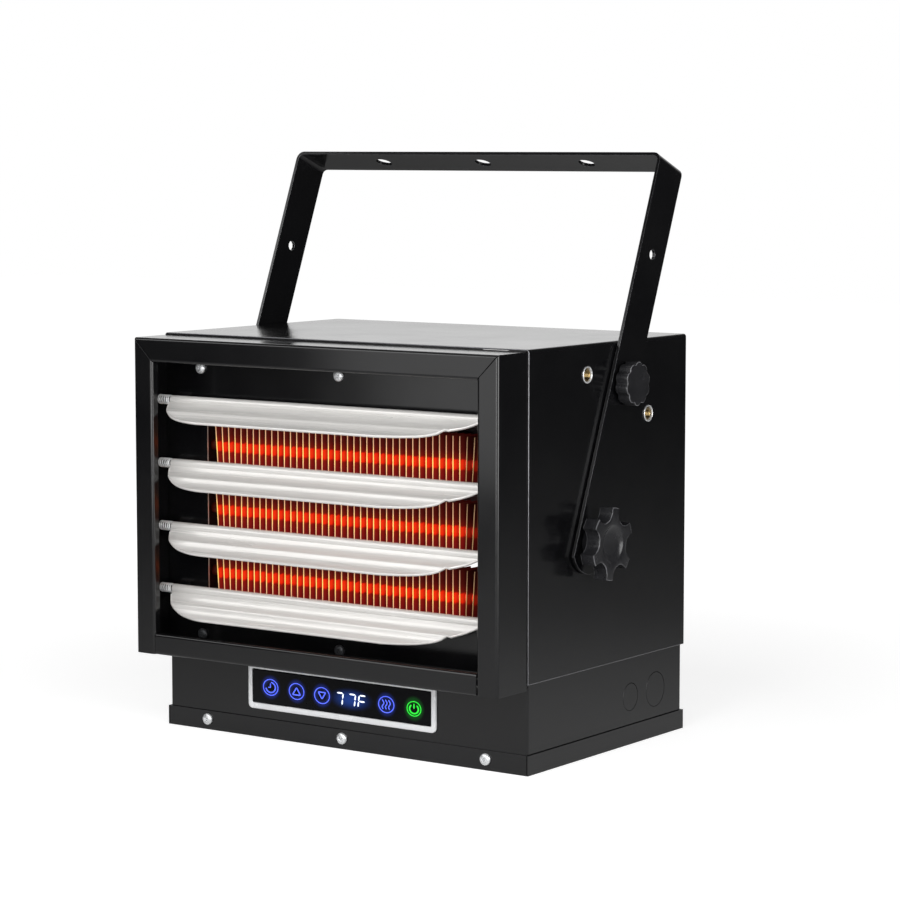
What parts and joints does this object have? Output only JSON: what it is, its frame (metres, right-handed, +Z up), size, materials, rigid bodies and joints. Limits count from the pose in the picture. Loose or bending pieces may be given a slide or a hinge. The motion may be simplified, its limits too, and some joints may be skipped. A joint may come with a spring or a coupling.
{
  "type": "fan heater",
  "caption": "Ceiling-hung electric fan heater: sheet-steel cabinet on a tilting bracket, spring-held louvers, finned elements, rear fan and touch display.",
  "frame": {"origin": "centre of the base tray's underside", "axes": "+Z up, -Y out of the louvered front, +X to the right seen from the front"},
  "size_m": [0.4046, 0.2738, 0.4694],
  "materials": {
    "black_paint": "satin black powder coat on steel sheet",
    "louver_silver": "satin silver-white anodised strip",
    "zinc": "bright zinc plate",
    "galvanised": "galvanised sheet",
    "element_steel": "heat-tinted steel, glowing when on",
    "fan_aluminium": "mill aluminium",
    "motor_paint": "dark enamel",
    "yellow_zinc": "yellow zinc plate",
    "black_plastic": "moulded black nylon",
    "silver_plastic": "silver-white moulding",
    "black_glass": "black touch glass with lit signs",
    "board_green": "printed circuit board",
    "phenolic": "dark phenolic moulding"
  },
  "bodies": {
    "cabinet": {"cabinet_wrap": "black_paint", "rear_panel": "black_paint", "front_baffle": "black_paint", "frame_right": "black_paint", "frame_left": "black_paint", "frame_top": "black_paint", "frame_bottom": "black_paint", "control_box": "black_paint", "base_tray": "black_paint", "knockout_small": "black_paint", "knockout_large": "black_paint", "rear_guard": "black_paint", "louver_spring_1": "zinc", "louver_spring_2": "zinc", "louver_spring_3": "zinc", "louver_spring_4": "zinc", "base_screw_left": "zinc", "base_screw_middle": "zinc", "base_screw_right": "zinc", "baffle_screw_lower_left": "zinc", "baffle_screw_lower_middle": "zinc", "baffle_screw_lower_right": "zinc", "baffle_screw_upper_left": "zinc", "baffle_screw_upper_middle": "zinc", "baffle_screw_upper_right": "zinc", "divider_floor": "galvanised", "element_plate_right": "galvanised", "element_plate_left": "galvanised", "motor_bracket": "galvanised", "heating_element_bottom": "element_steel", "heating_element_middle": "element_steel", "heating_element_top": "element_steel", "fan_motor": "motor_paint", "pivot_insert_right": "yellow_zinc", "pivot_insert_left": "yellow_zinc", "angle_insert_upright_right": "yellow_zinc", "angle_insert_middle_right": "yellow_zinc", "angle_insert_back_right": "yellow_zinc", "angle_insert_upright_left": "yellow_zinc", "angle_insert_middle_left": "yellow_zinc", "angle_insert_back_left": "yellow_zinc", "ground_stud": "yellow_zinc", "temperature_sensor": "black_plastic", "display_bezel": "silver_plastic", "display_glass": "black_glass", "control_board": "board_green", "power_relay": "phenolic", "terminal_block": "phenolic", "thermal_cutout": "phenolic"},
    "bracket": {"mount_bracket": "black_paint"},
    "pivot_knob_right": {"pivot_knob_right": "black_plastic"},
    "pivot_knob_left": {"pivot_knob_left": "black_plastic"},
    "lock_knob_right": {"lock_knob_right": "black_plastic"},
    "lock_knob_left": {"lock_knob_left": "black_plastic"},
    "louver_1": {"louver_1": "louver_silver"},
    "louver_2": {"louver_2": "louver_silver"},
    "louver_3": {"louver_3": "louver_silver"},
    "louver_4": {"louver_4": "louver_silver"},
    "fan_rotor": {"fan_blade": "fan_aluminium", "motor_shaft": "zinc"}
  },
  "joints": [
    {"name": "bracket_tilt", "type": "hinge", "parent": "cabinet", "child": "bracket", "pos_m": [0, -0.034, 0.1702], "axis": [1, 0, 0], "range_deg": [-22, 22]},
    {"name": "pivot_knob_right_turn", "type": "hinge", "parent": "cabinet", "child": "pivot_knob_right", "pos_m": [0.192, -0.034, 0.1702], "axis": [1, 0, 0], "range_deg": [0, 720]},
    {"name": "pivot_knob_left_turn", "type": "hinge", "parent": "cabinet", "child": "pivot_knob_left", "pos_m": [-0.192, -0.034, 0.1702], "axis": [-1, 0, 0], "range_deg": [0, 720]},
    {"name": "lock_knob_right_turn", "type": "hinge", "parent": "bracket", "child": "lock_knob_right", "pos_m": [0.188, 0.01444, 0.29008], "axis": [1, 0, 0], "range_deg": [0, 720]},
    {"name": "lock_knob_left_turn", "type": "hinge", "parent": "bracket", "child": "lock_knob_left", "pos_m": [-0.188, 0.01444, 0.29008], "axis": [-1, 0, 0], "range_deg": [0, 720]},
    {"name": "louver_1_tilt", "type": "hinge", "parent": "cabinet", "child": "louver_1", "pos_m": [0, -0.1275, 0.2701], "axis": [1, 0, 0], "range_deg": [-37.5, 52.5]},
    {"name": "louver_2_tilt", "type": "hinge", "parent": "cabinet", "child": "louver_2", "pos_m": [0, -0.1275, 0.2186], "axis": [1, 0, 0], "range_deg": [-45.5, 44.5]},
    {"name": "louver_3_tilt", "type": "hinge", "parent": "cabinet", "child": "louver_3", "pos_m": [0, -0.1275, 0.1671], "axis": [1, 0, 0], "range_deg": [-46.5, 43.5]},
    {"name": "louver_4_tilt", "type": "hinge", "parent": "cabinet", "child": "louver_4", "pos_m": [0, -0.1275, 0.1161], "axis": [1, 0, 0], "range_deg": [-56, 34]},
    {"name": "fan_spin", "type": "hinge", "parent": "cabinet", "child": "fan_rotor", "pos_m": [0, 0.084, 0.197], "axis": [0, 1, 0], "continuous": true}
  ]
}
